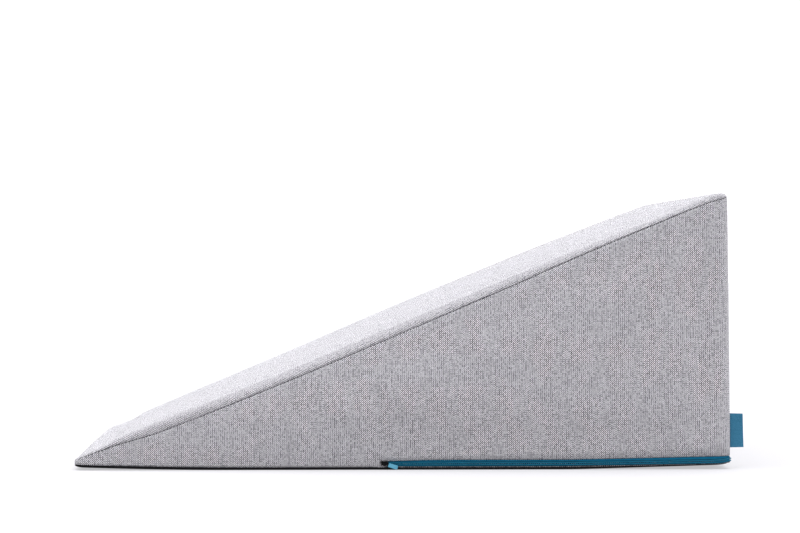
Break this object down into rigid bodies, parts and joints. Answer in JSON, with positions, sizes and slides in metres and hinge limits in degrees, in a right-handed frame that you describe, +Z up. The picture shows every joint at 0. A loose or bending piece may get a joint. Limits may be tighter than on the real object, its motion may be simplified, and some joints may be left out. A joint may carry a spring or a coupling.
{
  "type": "wedge pillow",
  "caption": "Foam wedge pillow in a sewn woven cover, thin at the nose and tall at the heel, with a coil zip round its heel end and a plain folded side tab.",
  "frame": {"origin": "middle of the flat underside, on the floor", "axes": "+X from the thin nose to the tall heel, +Z up; -Y is the side that carries the zip's slider and the side tab"},
  "size_m": [0.6172, 0.612, 0.2546],
  "materials": {
    "cover_cloth": "matte",
    "zip_tape": "matte",
    "zip_coil": "satin",
    "slider_metal": "satin",
    "pull_plastic": "matte",
    "tab_cloth": "matte"
  },
  "bodies": {
    "root": {"cushion": "cover_cloth", "zip_tape_upper": "zip_tape", "zip_tape_lower": "zip_tape", "zip_coil_upper": "zip_coil", "zip_coil_lower": "zip_coil", "zip_slider": "slider_metal", "zip_pull_loop": "slider_metal", "zip_pull_tab": "pull_plastic", "side_tab": "tab_cloth"}
  },
  "joints": []
}
